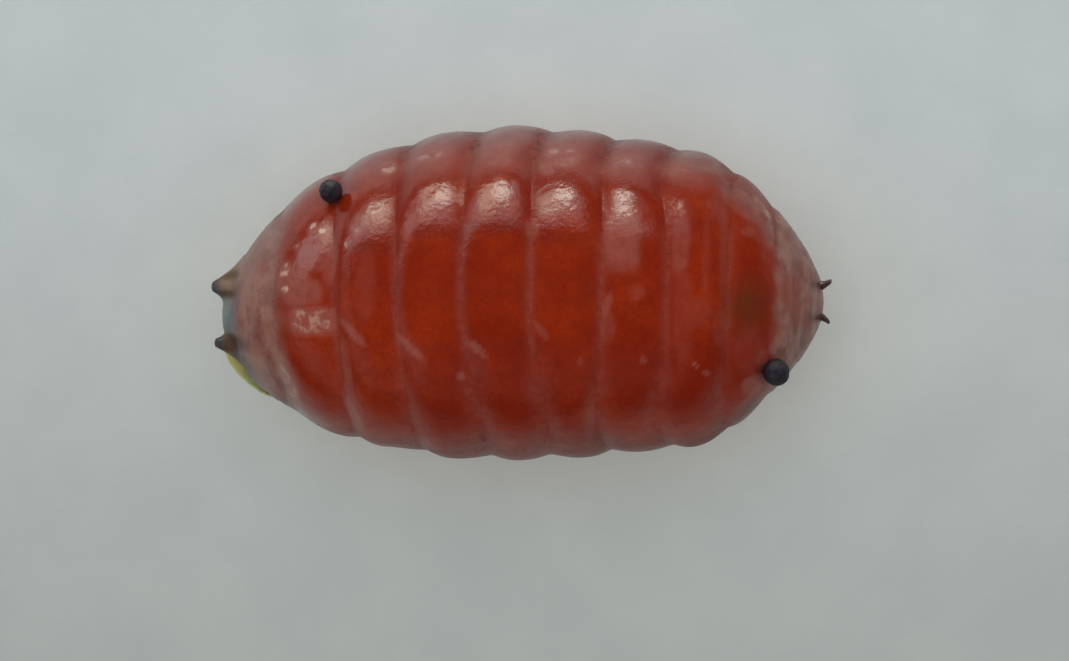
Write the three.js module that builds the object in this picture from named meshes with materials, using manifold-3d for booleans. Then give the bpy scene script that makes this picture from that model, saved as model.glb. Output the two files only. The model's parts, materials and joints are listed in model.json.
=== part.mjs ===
// A leaf-mining fly's puparium: the larva's last skin, hardened into a ringed barrel, lying on its belly.
// It has two droppings stuck to it and a shred of leaf under its tail.
//
// Millimetres. +X points to the head end, +Y to its left side and +Z up.
// The origin is the middle of the base of the box round the whole part.
import * as THREE from 'three';
import { mergeVertices } from 'three/addons/utils/BufferGeometryUtils.js';
import Module from 'manifold-3d';

// Driving dimensions of the barrel
const TAIL_END = -1.198; // X of the tail end
const HEAD_END = 1.192; // X of the head end
const WIDEST = -0.037; // X of the widest place
const HALF_WIDTH = 0.65; // half the width there, without the rings' swelling
const RISE = 0.6; // height of the back above the barrel's middle line
const FALL = 0.5; // depth of the belly below it, before it is flattened
const MID_HEIGHT = 0.455; // height of the middle line over the ground, so the belly is flat up to there
const BEND_TAIL = -0.102; // sideways drift of the middle line at the tail end
const BEND_HEAD = -0.04; // the same at the head end
const BEND_POWER = 1.5; // how late the drift comes: it grows with this power of the way to the end
const SECTION_TURN = 0.55; // how far a ring's section turns to follow the drift, as a share of its slope
const TAIL_LIFT = 0.02; // height of the tail end above the middle line
const HEAD_DROP = -0.03; // the same for the head end, which hangs a little

// The shoulder is a fuller stretch before the head, and the snout and the rump are slimmer ones at the ends
const RUMP = { at: -1.12, reach: 0.12, gain: -0.05 };
const SHOULDER = { at: 0.765, reach: 0.22, gain: 0.118 };
const SNOUT = { at: 1.1, reach: 0.12, gain: -0.055 };

// Grooves between the rings, from tail to head: X at the flanks, X along the back, and the depth factor
const GROOVES = [
  { flank: -0.94, back: -0.966, depth: 0.8 },
  { flank: -0.69, back: -0.69, depth: 1.0 },
  { flank: -0.416, back: -0.444, depth: 1.0 },
  { flank: -0.144, back: -0.184, depth: 1.0 },
  { flank: 0.112, back: 0.082, depth: 1.0 },
  { flank: 0.36, back: 0.356, depth: 1.0 },
  { flank: 0.608, back: 0.605, depth: 0.9 },
  { flank: 0.824, back: 0.835, depth: 0.8 },
  { flank: 0.978, back: 1.028, depth: 0.6 },
  { flank: 1.085, back: 1.112, depth: 0.35 },
];
const SWELLING = 0.021; // how far a ring's crest stands above the grooves beside it
const CREST_FLATNESS = 2.4; // 2 is a round crest, and more is a flatter one with steeper sides

// Mesh steps: places across one ring, as shares of its length, and points round the barrel
const RING_STEPS = [0, 0.07, 0.19, 0.35, 0.5, 0.65, 0.81, 0.93];
const CAP_STEPS = [0.02, 0.07, 0.16, 0.3, 0.48, 0.68, 0.86, 0.96];
const AROUND = 40;

// Breathing horns of the tail: two stout cones side by side with blunt tips, on a low saddle
const TAIL_HORNS = [
  { root: [-1.122, 0.036, 0.51], tip: [-1.238, 0.018, 0.57], rootRadius: 0.104, tipRadius: 0.031 },
  { root: [-1.13, -0.213, 0.49], tip: [-1.232, -0.2, 0.545], rootRadius: 0.064, tipRadius: 0.023 },
];
const TAIL_HORN = { hollowing: 0.9, bluntness: 0.5, sunk: 0.05, around: 18 };
const SADDLE = { centre: [-1.158, -0.092, 0.5], halfSize: [0.058, 0.125, 0.075], around: 24, rows: 12 };

// Breathing horns of the head: two thin spikes that part forwards
const HEAD_HORNS = [
  { root: [1.16, 0.018, 0.44], tip: [1.228, 0.046, 0.47] },
  { root: [1.16, -0.084, 0.44], tip: [1.219, -0.117, 0.47] },
];
const HEAD_HORN = { rootRadius: 0.013, tipRadius: 0.006, sunk: 0.05, around: 10 };

// Droppings stuck to the skin: place along the barrel, angle up from the left flank, and size
const REAR_GRAIN = { along: -0.7, angle: 41.3, radius: 0.046, seed: 2.1 };
const FRONT_GRAIN = { along: 0.996, angle: 132, radius: 0.052, seed: 4.7 };
const GRAIN_GAP = 0.004; // the film of glue between a dropping and the skin
const GRAIN_LUMP = 0.05; // how uneven a dropping is, as a share of its radius

// The shred of leaf lies under the right flank of the tail, and its outer edge stands off the skin
const SHRED = { from: -1.187, to: -1.045, inner: 214, outer: 190, thickness: 0.012, gap: 0.005 };
const SHRED_STAND = { rear: 0.056, front: 0.03 };
const SHRED_STEPS = { along: 12, across: 6 };

const COLOURS = {
  skin: 0x8a2a16,
  grain: 0x2a262e,
  shred: 0xa8a84e,
};

const radians = THREE.MathUtils.degToRad;
const bell = (x, { at, reach, gain }) => gain * Math.exp(-(((x - at) / reach) ** 2));

// Size of the barrel's section at a place along it: 1 at the widest place and 0 at the ends
function girth(x) {
  const end = x < WIDEST ? TAIL_END : HEAD_END;
  const share = Math.min(1, (x - WIDEST) / (end - WIDEST));
  return Math.sqrt(1 - share * share) * (1 + bell(x, RUMP) + bell(x, SHOULDER) + bell(x, SNOUT));
}

// The middle line drifts sideways and in height towards the ends
function middleLine(x) {
  const [end, drift, lift] = x < WIDEST ? [TAIL_END, BEND_TAIL, TAIL_LIFT] : [HEAD_END, BEND_HEAD, HEAD_DROP];
  const share = (x - WIDEST) / (end - WIDEST);
  const slope = (BEND_POWER * drift * share ** (BEND_POWER - 1)) / (end - WIDEST);
  return { y: drift * share ** BEND_POWER, z: MID_HEIGHT + lift * share ** 2, slope };
}

// One point of the skin. Angle 0 is the left flank, 90 the back, 180 the right flank and 270 the belly.
function skinPoint({ flank, back, swell }, angle) {
  const up = Math.sin(angle);
  const size = girth(flank);
  const line = middleLine(flank);
  const sideways = (HALF_WIDTH * size + swell) * Math.cos(angle);
  const upwards = ((up > 0 ? RISE : FALL) * size + swell) * up;
  const lean = (back - flank) * Math.max(0, up) ** 1.5;
  return new THREE.Vector3(flank + lean - SECTION_TURN * line.slope * sideways, line.y + sideways, line.z + upwards);
}

// Crest of a ring: share 0 and 1 are the grooves at its two ends
const crest = (share) => 1 - Math.abs(2 * share - 1) ** CREST_FLATNESS;

// All the stations along the barrel, from one end to the other, each a place with its swelling
function stations() {
  const ends = [
    { flank: TAIL_END, back: TAIL_END, depth: 0 },
    ...GROOVES,
    { flank: HEAD_END, back: HEAD_END, depth: 0 },
  ];
  const list = [{ flank: TAIL_END, back: TAIL_END, swell: 0 }];
  for (let ring = 0; ring < ends.length - 1; ring += 1) {
    const rear = ends[ring];
    const front = ends[ring + 1];
    const isTail = ring === 0;
    const isHead = ring === ends.length - 2;
    const steps = isTail || isHead ? CAP_STEPS : RING_STEPS;
    const first = isTail ? [] : [0];
    const shares = isTail ? steps : isHead ? [...first, ...steps.map((s) => 1 - s).reverse()] : steps;
    for (const share of shares) {
      const depth = THREE.MathUtils.lerp(rear.depth, front.depth, share);
      const swell = isTail || isHead ? depth * SWELLING * crest(share) * 0.5 : depth * SWELLING * crest(share);
      list.push({
        flank: THREE.MathUtils.lerp(rear.flank, front.flank, share),
        back: THREE.MathUtils.lerp(rear.back, front.back, share),
        swell,
      });
    }
  }
  list.push({ flank: HEAD_END, back: HEAD_END, swell: 0 });
  return list;
}

// A sphere whose rows become the stations and whose columns become the angles round the barrel
function barrelGeometry() {
  const places = stations();
  const rows = places.length - 1;
  const geometry = new THREE.SphereGeometry(1, AROUND, rows);
  const { position, uv } = geometry.attributes;
  for (let i = 0; i < position.count; i += 1) {
    const place = places[Math.round((1 - uv.getY(i)) * rows)];
    const column = Math.round(uv.getX(i) * AROUND - 0.001) % AROUND;
    const point = skinPoint(place, -(column / AROUND) * 2 * Math.PI);
    position.setXYZ(i, point.x, point.y, Math.max(0, point.z));
  }
  return geometry;
}

// A closed geometry with one vertex for each place, as joining needs it
function welded(geometry) {
  const bare = geometry.clone();
  bare.deleteAttribute('normal');
  bare.deleteAttribute('uv');
  return mergeVertices(bare, 1e-6);
}

const wasm = await Module();
wasm.setup();

function toSolid(geometry) {
  const closed = welded(geometry);
  return new wasm.Manifold(
    new wasm.Mesh({
      numProp: 3,
      vertProperties: new Float32Array(closed.attributes.position.array),
      triVerts: new Uint32Array(closed.index.array),
    }),
  );
}

function toGeometry(solid) {
  const mesh = solid.getMesh();
  const geometry = new THREE.BufferGeometry();
  geometry.setAttribute('position', new THREE.BufferAttribute(new Float32Array(mesh.vertProperties), 3));
  geometry.setIndex(new THREE.BufferAttribute(new Uint32Array(mesh.triVerts), 1));
  geometry.computeVertexNormals();
  return geometry;
}

// A turned spike whose profile runs along +Y from the root, then laid from root to tip
function spike(profile, around, root, tip) {
  const geometry = new THREE.LatheGeometry(profile, around);
  const start = new THREE.Vector3(...root);
  const along = new THREE.Vector3(...tip).sub(start).normalize();
  const turn = new THREE.Quaternion().setFromUnitVectors(new THREE.Vector3(0, 1, 0), along);
  geometry.applyMatrix4(new THREE.Matrix4().compose(start, turn, new THREE.Vector3(1, 1, 1)));
  return geometry;
}

const reachOf = ({ root, tip }) => new THREE.Vector3(...root).distanceTo(new THREE.Vector3(...tip));

// A tail horn is a cone with slightly hollow sides and a blunt round end
function tailHornGeometry(horn) {
  const { hollowing, bluntness, sunk, around } = TAIL_HORN;
  const length = reachOf(horn);
  const endAt = length - horn.tipRadius * bluntness;
  const side = new THREE.QuadraticBezierCurve(
    new THREE.Vector2(horn.rootRadius, 0),
    new THREE.Vector2(((horn.rootRadius + horn.tipRadius) / 2) * hollowing, endAt * 0.5),
    new THREE.Vector2(horn.tipRadius, endAt),
  );
  const end = new THREE.EllipseCurve(0, endAt, horn.tipRadius, horn.tipRadius * bluntness, 0, radians(90));
  const profile = [
    new THREE.Vector2(0, -sunk),
    new THREE.Vector2(horn.rootRadius, -sunk),
    ...side.getPoints(4),
    ...end.getPoints(3).slice(1, -1),
    new THREE.Vector2(0, length),
  ];
  return spike(profile, around, horn.root, horn.tip);
}

// A head horn is a thin spike with a blunt end
function headHornGeometry(horn) {
  const { rootRadius, tipRadius, sunk, around } = HEAD_HORN;
  const length = reachOf(horn);
  const profile = [
    new THREE.Vector2(0, -sunk),
    new THREE.Vector2(rootRadius, -sunk),
    new THREE.Vector2(rootRadius, 0),
    new THREE.Vector2((rootRadius + tipRadius) * 0.46, length * 0.5),
    new THREE.Vector2(tipRadius, length - tipRadius * 0.5),
    new THREE.Vector2(0, length),
  ];
  return spike(profile, around, horn.root, horn.tip);
}

// The low saddle that the two tail horns stand on
function saddleGeometry() {
  const { centre, halfSize, around, rows } = SADDLE;
  const geometry = new THREE.SphereGeometry(1, around, rows);
  geometry.scale(...halfSize);
  geometry.translate(...centre);
  return geometry;
}

function pupariumGeometry() {
  const horns = [...TAIL_HORNS.map(tailHornGeometry), ...HEAD_HORNS.map(headHornGeometry)];
  const grown = [saddleGeometry(), ...horns];
  const joined = grown.reduce((whole, horn) => whole.add(toSolid(horn)), toSolid(barrelGeometry()));
  return toGeometry(joined);
}

// A place on the skin between the two ends, with the direction straight out of it
function skinAt(along, degrees) {
  const nudge = 0.004;
  const grooves = [{ flank: TAIL_END, depth: 0 }, ...GROOVES, { flank: HEAD_END, depth: 0 }];
  const at = (x, angle) => {
    const ring = grooves.findIndex((groove, i) => i > 0 && x <= groove.flank) - 1;
    const share = (x - grooves[ring].flank) / (grooves[ring + 1].flank - grooves[ring].flank);
    const swell = SWELLING * crest(share);
    return skinPoint({ flank: x, back: x, swell }, radians(angle));
  };
  const point = at(along, degrees);
  const forwards = at(along + nudge, degrees).sub(at(along - nudge, degrees));
  const round = at(along, degrees + 1).sub(at(along, degrees - 1));
  return { point, out: round.cross(forwards).normalize() };
}

// A dropping is a lumpy ball that rests on the skin
function grainGeometry({ along, angle, radius, seed }) {
  const geometry = new THREE.IcosahedronGeometry(radius, 3);
  const { position } = geometry.attributes;
  const v = new THREE.Vector3();
  for (let i = 0; i < position.count; i += 1) {
    v.fromBufferAttribute(position, i);
    const d = v.clone().normalize();
    const lump = Math.sin(3 * d.x + seed) * Math.cos(4 * d.y - seed) + 0.5 * Math.sin(7 * d.z + 2 * seed);
    v.multiplyScalar(1 + GRAIN_LUMP * lump * 0.5);
    position.setXYZ(i, v.x, v.y, v.z);
  }
  const { point, out } = skinAt(along, angle);
  const centre = point.addScaledVector(out, radius * (1 + GRAIN_LUMP) + GRAIN_GAP);
  geometry.translate(centre.x, centre.y, centre.z);
  return geometry;
}

// The shred is a thin curled flake, pointed at both ends
function shredGeometry() {
  const geometry = new THREE.BoxGeometry(1, 1, 1, SHRED_STEPS.along, SHRED_STEPS.across, 1);
  const { position } = geometry.attributes;
  for (let i = 0; i < position.count; i += 1) {
    const along = position.getX(i) + 0.5;
    const across = position.getY(i) + 0.5;
    const layer = position.getZ(i) + 0.5;
    const taper = Math.max(0.12, Math.sin(Math.PI * THREE.MathUtils.lerp(0.04, 0.96, along)) ** 0.6);
    const place = THREE.MathUtils.lerp(SHRED.from, SHRED.to, along);
    const angle = THREE.MathUtils.lerp(SHRED.inner, SHRED.inner + (SHRED.outer - SHRED.inner) * taper, across);
    const { point, out } = skinAt(place, angle);
    const stand = THREE.MathUtils.lerp(SHRED_STAND.rear, SHRED_STAND.front, along) * taper * across ** 1.5;
    point.addScaledVector(out, SHRED.gap + stand + SHRED.thickness * layer * (0.4 + 0.6 * taper));
    position.setXYZ(i, point.x, point.y, point.z);
  }
  return geometry;
}

// A named mesh with its own material
function piece(name, geometry, colour, roughness) {
  const material = new THREE.MeshStandardMaterial({ color: colour, roughness, metalness: 0 });
  const mesh = new THREE.Mesh(geometry, material);
  mesh.name = name;
  return mesh;
}

const part = new THREE.Group();
part.add(piece('puparium', pupariumGeometry(), COLOURS.skin, 0.25));
part.add(piece('frass_grain_rear', grainGeometry(REAR_GRAIN), COLOURS.grain, 0.35));
part.add(piece('frass_grain_front', grainGeometry(FRONT_GRAIN), COLOURS.grain, 0.35));
part.add(piece('leaf_shred', shredGeometry(), COLOURS.shred, 0.6));

// The whole part stands over the origin by its box
const box = new THREE.Box3().setFromObject(part, true);
const middle = box.getCenter(new THREE.Vector3());
part.position.set(-middle.x, -middle.y, -box.min.z);
part.updateMatrixWorld(true);

export default part;
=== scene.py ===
# %% [markdown]
# # A leaf-mining fly's puparium
# The last skin of a fly's maggot has hardened into a glossy red-brown barrel of eleven rings. Two stout
# breathing horns stand on its tail and two thin ones on its head. Two dry droppings and a shred of leaf
# stick to it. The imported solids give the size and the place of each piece, and this script dresses them.

# %% Frame
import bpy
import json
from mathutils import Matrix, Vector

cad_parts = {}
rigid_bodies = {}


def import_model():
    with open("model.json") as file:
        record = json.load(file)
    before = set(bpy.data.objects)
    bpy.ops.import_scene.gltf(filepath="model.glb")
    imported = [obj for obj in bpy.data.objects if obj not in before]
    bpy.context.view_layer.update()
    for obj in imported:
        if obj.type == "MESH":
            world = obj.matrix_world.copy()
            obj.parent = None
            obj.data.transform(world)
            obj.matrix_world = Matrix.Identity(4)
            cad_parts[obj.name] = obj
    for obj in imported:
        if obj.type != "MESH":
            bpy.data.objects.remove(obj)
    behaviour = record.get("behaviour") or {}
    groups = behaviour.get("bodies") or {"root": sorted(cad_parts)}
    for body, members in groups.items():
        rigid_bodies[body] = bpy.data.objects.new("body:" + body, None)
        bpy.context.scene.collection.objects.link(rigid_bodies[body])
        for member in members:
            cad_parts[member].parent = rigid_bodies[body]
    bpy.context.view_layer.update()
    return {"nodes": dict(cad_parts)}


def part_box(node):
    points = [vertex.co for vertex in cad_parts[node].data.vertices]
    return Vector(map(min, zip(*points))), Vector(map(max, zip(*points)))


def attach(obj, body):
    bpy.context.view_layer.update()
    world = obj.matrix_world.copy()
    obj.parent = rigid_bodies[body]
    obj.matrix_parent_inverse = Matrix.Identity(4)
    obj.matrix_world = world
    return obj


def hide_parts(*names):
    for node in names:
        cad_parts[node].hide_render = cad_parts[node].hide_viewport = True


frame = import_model()
print("solids:", sorted(frame["nodes"]))

# %% [markdown]
# ## Tools and units
# The barrel is only 2.5 mm long, so its shape is worked out in millimetres and the mesh gets metres at the
# end. Edit mode acts on all that is selected, so a helper selects one piece alone.

# %% Units and small helpers
import json
import math
import bpy
import numpy as np
from mathutils import Vector, noise

MM = 0.001
print("one millimetre in the scene is", MM)


def select_only(piece):
    if bpy.context.object and bpy.context.object.mode != "OBJECT":
        bpy.ops.object.mode_set(mode="OBJECT")
    bpy.ops.object.select_all(action="DESELECT")
    piece.select_set(True)
    bpy.context.view_layer.objects.active = piece


def subdivide(piece):
    finer = piece.modifiers.new("finer", "SUBSURF")
    finer.levels = finer.render_levels = 2
    select_only(piece)
    bpy.ops.object.modifier_apply(modifier=finer.name)


def extrude_by(*step):
    """Extrudes the selected end by a step in millimetres."""
    bpy.ops.mesh.extrude_region_move(TRANSFORM_OT_translate={"value": tuple(s * MM for s in step)})


def narrow(ratio, centre):
    """Scales the selected end about a centre in millimetres."""
    bpy.ops.transform.resize(value=(1, ratio, ratio), center_override=tuple(c * MM for c in centre))


def places_of(piece):
    flat = np.zeros(len(piece.data.vertices) * 3)
    piece.data.vertices.foreach_get("co", flat)
    return flat.reshape(-1, 3) / MM


def move_to(piece, places):
    piece.data.vertices.foreach_set("co", (places * MM).astype(np.float32).ravel())
    piece.data.update()


def mark(piece, name, values):
    """Keeps one number for each vertex under a name that the materials can read."""
    layer = piece.data.attributes.new(name, "FLOAT", "POINT")
    layer.data.foreach_set("value", np.asarray(values, np.float32))


def ramp(low, high, value):
    share = np.clip((value - low) / (high - low), 0.0, 1.0)
    return share * share * (3 - 2 * share)


# %% [markdown]
# ## The barrel's measures
# These are the same measures as the solid's. A ring is a low swelling between two grooves, the middle line
# drifts a little to the right at both ends, and the belly is flat where it rests.

# %% Measures of the barrel
SHIFT = np.array([0.0077, 0.0001, 0.0])  # from the barrel's own measures to the frame of the solids
TAIL_END, HEAD_END, WIDEST = -1.198, 1.192, -0.037
HALF_WIDTH, RISE, FALL, MIDDLE = 0.65, 0.6, 0.5, 0.455
BEND_TAIL, BEND_HEAD, BEND_POWER, SECTION_TURN = -0.102, -0.04, 1.5, 0.55
TAIL_LIFT, HEAD_DROP = 0.02, -0.03
FULLER = [  # place, reach and gain of each fuller or slimmer stretch
    (-1.12, 0.12, -0.05), (0.765, 0.22, 0.118), (1.1, 0.12, -0.055), (1.165, 0.05, -0.08)]
FLANK = np.array([  # where the grooves cross the flanks
    TAIL_END, -0.94, -0.69, -0.416, -0.144, 0.112, 0.36, 0.608, 0.824, 0.978, 1.085, HEAD_END])
BACK = np.array([  # where they cross the back
    TAIL_END, -0.966, -0.69, -0.444, -0.184, 0.082, 0.356, 0.605, 0.835, 1.028, 1.112, HEAD_END])
DEPTH = np.array([0, 0.8, 1, 1, 1, 1, 1, 0.9, 0.8, 0.6, 0.35, 0])  # how deep each groove is
print("rings:", len(FLANK) - 1)

# %% Measures of a ring
SWELLING, CREST_FLATNESS, CAP_SWELLING = 0.021, 2.05, 0.5
SOFT_GROOVE, SOFT_AT_HEAD, SOFT_ON_RIGHT, SOFT_ON_LEFT = 0.07, 0.25, 0.22, 0.12
# How far each groove bows towards the head between the back and the left flank, and the same on the right:
BOW_LEFT = np.array([0, 0, 0, 0, 0, -0.03, -0.024, -0.05, 0, 0, 0, 0])
BOW_RIGHT = np.array([0, 0, 0, 0, 0.02, 0.036, -0.036, -0.05, -0.01, 0, 0, 0])
BOW_PEAK = 6.75  # makes the bow's greatest value 1
SKEW = np.array([0, 0, 0.35, 0.4, 0.05, -0.3, 0, 0, 0, 0, 0])  # how far each crest leans to the tail
print("a ring swells by", SWELLING, "mm")


# %% The barrel's shape
def girth(u):
    """Half width at a place along the barrel, as a share of the greatest."""
    end = np.where(u < WIDEST, TAIL_END, HEAD_END)
    share = np.clip((u - WIDEST) / (end - WIDEST), 0, 1)
    fuller = 1 + sum(gain * np.exp(-(((u - at) / reach) ** 2)) for at, reach, gain in FULLER)
    return np.sqrt(1 - share * share) * fuller


def middle_line(u):
    """How far the middle line lies to the left, how high it is, and its slope to the left."""
    tail = u < WIDEST
    end = np.where(tail, TAIL_END, HEAD_END)
    drift = np.where(tail, BEND_TAIL, BEND_HEAD)
    share = np.clip((u - WIDEST) / (end - WIDEST), 0, 1)
    slope = BEND_POWER * drift * share ** (BEND_POWER - 1) / (end - WIDEST)
    return drift * share ** BEND_POWER, MIDDLE + np.where(tail, TAIL_LIFT, HEAD_DROP) * share ** 2, slope


def ring_of(u):
    """The number of the ring at a place, and the share of its length from its groove on the tail's side."""
    ring = np.clip(np.searchsorted(FLANK, u, side="right") - 1, 0, len(FLANK) - 2)
    share = np.clip((u - FLANK[ring]) / (FLANK[ring + 1] - FLANK[ring]), 0, 1)
    return ring, share


def swelling(u, softer):
    """How far a ring stands out in millimetres. A softer groove is wider and rounder."""
    ring, share = ring_of(u)
    depth = DEPTH[ring] + (DEPTH[ring + 1] - DEPTH[ring]) * share
    cap = np.where((ring == 0) | (ring == len(FLANK) - 2), CAP_SWELLING, 1.0)
    soft = SOFT_GROOVE + np.maximum(SOFT_AT_HEAD * ramp(0.55, 0.95, u), softer)
    leaning = share + SKEW[ring] * share * (1 - share)
    crest = 1 - np.abs(2 * leaning - 1) ** CREST_FLATNESS
    rounded = (np.sqrt(crest * crest + soft * soft) - soft) / (np.sqrt(1 + soft * soft) - soft)
    return depth * SWELLING * rounded * cap


def on_skin(u, angle, extra=0.0):
    """Place in millimetres of the skin at u along the barrel and an angle up from its left flank."""
    up, side = np.sin(angle), np.cos(angle)
    size = girth(u)
    line_y, line_z, slope = middle_line(u)
    softer = SOFT_ON_RIGHT * ramp(-0.05, -0.45, side) + SOFT_ON_LEFT * ramp(0.5, 0.8, side)
    swell = swelling(u, softer) + extra
    sideways = (HALF_WIDTH * size + swell) * side
    upwards = (np.where(up > 0, RISE, FALL) * size + swell) * up
    lean = (np.interp(u, FLANK, BACK) - u) * np.maximum(0, up) ** 1.5
    bow = np.where(side > 0, np.interp(u, FLANK, BOW_LEFT), np.interp(u, FLANK, BOW_RIGHT))
    lean = lean + bow * BOW_PEAK * side ** 4 * up ** 2 * (up > 0)
    x = u + lean - SECTION_TURN * slope * sideways
    return np.stack([x, line_y + sideways, line_z + upwards], -1) + SHIFT


print("top of the back in mm:", on_skin(np.array(0.0), np.array(math.pi / 2)).round(3))

# %% [markdown]
# ## The skin, first as a straight barrel
# A circle is extruded ring by ring from the tail to the head and scaled at each step, as a lathe-turned
# barrel would be by hand. Short steps beside a groove leave a narrow fold there when the surface is
# subdivided. One piece is used for the whole skin, because it grew as one.

# %% Straight barrel, extruded step by step
AROUND = 62
RING_SHARES = [0, 0.045, 0.12, 0.28, 0.5, 0.72, 0.88, 0.955]
CAP_SHARES = [0.006, 0.022, 0.05, 0.09, 0.14, 0.21, 0.3, 0.41, 0.54, 0.69, 0.85]

steps = [TAIL_END + (FLANK[1] - TAIL_END) * s for s in CAP_SHARES]
for i in range(1, len(FLANK) - 2):
    steps += [FLANK[i] + (FLANK[i + 1] - FLANK[i]) * s for s in RING_SHARES]
steps += [HEAD_END - (HEAD_END - FLANK[-2]) * s for s in reversed(CAP_SHARES + [1.0])]
steps = np.array(steps)


def straight_radius(u):
    return float(HALF_WIDTH * girth(np.array(u)))


bpy.ops.mesh.primitive_circle_add(
    vertices=AROUND, radius=straight_radius(steps[0]) * MM, location=(steps[0] * MM, 0, MIDDLE * MM),
    rotation=(0, math.pi / 2, 0))
skin = bpy.context.object
skin.name = "puparium_skin"
bpy.ops.object.transform_apply()
bpy.ops.object.mode_set(mode="EDIT")
bpy.ops.mesh.select_all(action="SELECT")
for before, here in zip(steps[:-1], steps[1:]):
    extrude_by(here - before, 0, 0)
    narrow(straight_radius(here) / straight_radius(before), (here, 0, MIDDLE))
print("steps along the barrel:", len(steps))

# %% Closing the two ends
SAME_PLACE = 1e-7  # in metres
for end, step in ((TAIL_END, steps[0]), (HEAD_END, steps[-1])):
    bpy.ops.mesh.select_all(action="DESELECT")
    bpy.ops.object.mode_set(mode="OBJECT")
    for vertex in skin.data.vertices:
        vertex.select = abs(vertex.co.x - step * MM) < SAME_PLACE
    bpy.ops.object.mode_set(mode="EDIT")
    extrude_by(end - step, 0, 0)
    bpy.ops.mesh.merge(type="CENTER")
bpy.ops.mesh.select_all(action="SELECT")
bpy.ops.mesh.normals_make_consistent()
bpy.ops.object.mode_set(mode="OBJECT")
print("faces of the straight barrel:", len(skin.data.polygons))

# %% Subdividing it
subdivide(skin)
straight = places_of(skin)
along = np.clip(straight[:, 0], TAIL_END, HEAD_END)
angle = np.arctan2(straight[:, 2] - MIDDLE, straight[:, 1])
print("skin vertices:", len(straight))

# %% [markdown]
# ## Shaping the skin
# The straight barrel is now moved vertex by vertex, as a sculptor would: each vertex goes to its place on
# the bent, ringed barrel. On top come the folds in the grooves, creases, wrinkles at both ends and a slight
# unevenness, because a real skin that dried hard is never a turned shape.

# %% Where the camera sees a place
PICTURE_WIDE, PICTURE_TALL = 1069, 661
PIXEL = 0.004  # in millimetres, at the middle of the barrel
TILT = math.radians(6)  # how far the camera leans towards the head
AWAY = 15.0  # its distance in millimetres
LOOK = np.array([0.047, -0.15, 0.46])  # what it looks at


def seen(places):
    """Where the camera sees a place, in pixels from the picture's left and top."""
    p = places - LOOK
    u = p[:, 0] * math.cos(TILT) - p[:, 2] * math.sin(TILT)
    w = p[:, 0] * math.sin(TILT) + p[:, 2] * math.cos(TILT)
    near = AWAY / (AWAY - w)
    return PICTURE_WIDE / 2 + u * near / PIXEL, PICTURE_TALL / 2 - p[:, 1] * near / PIXEL


smooth_skin = on_skin(along, angle)
sx, sy = seen(smooth_skin)
print("the barrel is seen from column", round(sx.min()), "to", round(sx.max()))

# %% Helpers for relief and marks
ring, share = ring_of(along)
to_groove = np.minimum(share, 1 - share) * (FLANK[ring + 1] - FLANK[ring])
near_depth = np.where(share < 0.5, DEPTH[ring], DEPTH[ring + 1])
from_left = np.abs(np.degrees(angle))
from_right = 180 - from_left


def near_groove(reach):
    """1 in a groove, and less away from it by a reach in millimetres and where it is shallow."""
    return np.exp(-((to_groove / reach) ** 2)) * near_depth


def over_rows(rows):
    """Grows from 0 to 1 from the first of two rows of the picture to the second."""
    return ramp(rows[0], rows[1], sy)


def noise_at(places, size, seed, octaves=3):
    """Smooth random numbers from about -1 to 1, with lumps of the given size in millimetres."""
    shifted = places / size + seed * 7.31
    return np.array([noise.fractal(Vector(p), 1.0, 2.0, octaves) for p in shifted])


print("furthest from a groove:", to_groove.max().round(3), "mm")

# %% Folds, wrinkles and an uneven wall
FOLD_DEPTH, FOLD_REACH, FOLD_ROWS, LEAST_FOLD = 0.0008, 0.012, (215, 245), 0.35
UNEVEN_DEPTH, UNEVEN_SIZE = 0.0028, 0.22
WRINKLE_LENGTHS = (0.022, 0.16, 0.16)  # short along the barrel, long around it
WRINKLES_AT_TAIL, WRINKLES_AT_HEAD = 0.0030, 0.0042
BULGES = [  # place along the barrel, reach, height, and the flank with the reach around it in degrees
    (-1.125, 0.04, 0.028, from_right, 24), (-1.06, 0.05, 0.012, from_right, 24),  # hip beside the lower horn
    (0.72, 0.14, -0.018, from_left, 30), (-0.54, 0.08, -0.014, from_right, 28),  # slimmer places
]
uneven = noise_at(smooth_skin, UNEVEN_SIZE, 1, 2) * UNEVEN_DEPTH
round_folds = noise_at(smooth_skin / np.array(WRINKLE_LENGTHS), 1.0, 2, 2)
towards_tail = ramp(-0.82, -1.05, along)
towards_head = ramp(0.96, 1.06, along)
wrinkled = round_folds * (WRINKLES_AT_TAIL * towards_tail + WRINKLES_AT_HEAD * towards_head)
fold = near_groove(FOLD_REACH) * (LEAST_FOLD + (1 - LEAST_FOLD) * over_rows(FOLD_ROWS))
extra = uneven + wrinkled - FOLD_DEPTH * fold
for at, reach, height, from_flank, around in BULGES:
    extra += height * np.exp(-(((along - at) / reach) ** 2) - (from_flank / around) ** 2)
print("folds up to", FOLD_DEPTH, "mm deep")

# %% [markdown]
# ### Dents and low bulges on the back
# The back has dimples, a few creases below its red ovals and some low lumps. Sculpting them by hand would
# need a brush and a window, so each is an oval of a soft edge, at the place where the camera sees it.

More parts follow.
